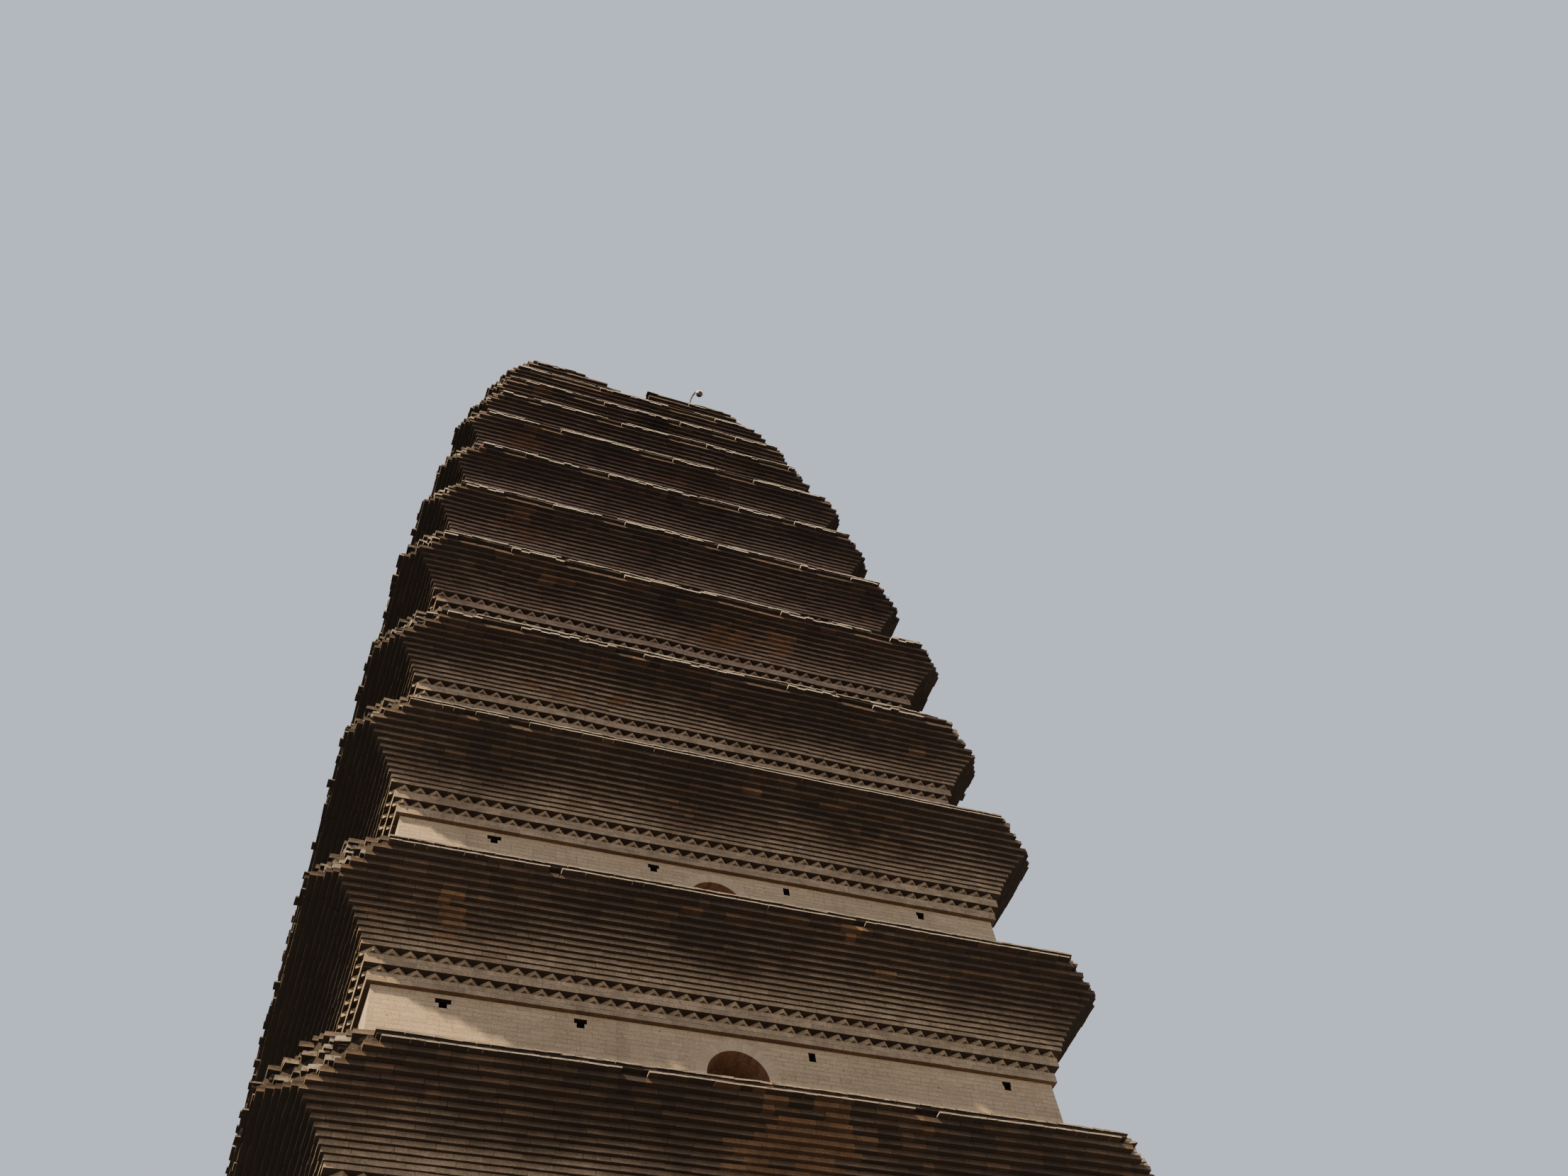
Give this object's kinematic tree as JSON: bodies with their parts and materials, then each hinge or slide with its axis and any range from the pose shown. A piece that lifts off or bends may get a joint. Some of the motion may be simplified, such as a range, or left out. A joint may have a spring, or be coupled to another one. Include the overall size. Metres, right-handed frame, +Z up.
{
  "type": "half-scale model of a close-eaved brick pagoda",
  "caption": "Half-scale square brick pagoda with thirteen close corbelled eaves, arched openings, worn corners and a ruined top, on a stepped terrace.",
  "frame": {"origin": "on the ground under the tower's axis, at the centre of the terrace", "axes": "+Z up along the tower's axis, -Y out of the front doorway, +X to the right of someone facing the front"},
  "size_m": [11.75, 16.9606, 21.6995],
  "materials": {
    "wall_brick": "weathered buff-grey brick",
    "eave_brick": "dark weathered grey-brown brick",
    "terrace_brick": "grey brick",
    "dressed_stone": "dressed grey limestone",
    "floor_timber": "worn boards",
    "grey_metal": "galvanised",
    "lamp_shell": "white shell"
  },
  "bodies": {
    "root": {"terrace_core": "terrace_brick", "terrace_coping": "dressed_stone", "south_stair": "dressed_stone", "north_stair": "dressed_stone", "south_door_frame": "dressed_stone", "north_door_frame": "dressed_stone", "storey_1_wall": "wall_brick", "storey_1_eave": "eave_brick", "storey_2_wall": "wall_brick", "storey_2_eave": "eave_brick", "storey_2_floor": "floor_timber", "storey_3_wall": "wall_brick", "storey_3_eave": "eave_brick", "storey_3_floor": "floor_timber", "storey_4_wall": "wall_brick", "storey_4_eave": "eave_brick", "storey_4_floor": "floor_timber", "storey_5_wall": "wall_brick", "storey_5_eave": "eave_brick", "storey_5_floor": "floor_timber", "storey_6_wall": "wall_brick", "storey_6_eave": "eave_brick", "storey_6_floor": "floor_timber", "storey_7_wall": "wall_brick", "storey_7_eave": "eave_brick", "storey_7_floor": "floor_timber", "storey_8_wall": "wall_brick", "storey_8_eave": "eave_brick", "storey_8_floor": "floor_timber", "storey_9_wall": "wall_brick", "storey_9_eave": "eave_brick", "storey_9_floor": "floor_timber", "storey_10_wall": "wall_brick", "storey_10_eave": "eave_brick", "storey_10_floor": "floor_timber", "storey_11_wall": "wall_brick", "storey_11_eave": "eave_brick", "storey_11_floor": "floor_timber", "storey_12_wall": "wall_brick", "storey_12_eave": "eave_brick", "storey_12_floor": "floor_timber", "storey_13_wall": "wall_brick", "storey_13_eave": "eave_brick", "storey_13_floor": "floor_timber", "ruined_top": "eave_brick", "lamp_arm": "grey_metal", "lamp_head": "lamp_shell"}
  },
  "joints": []
}
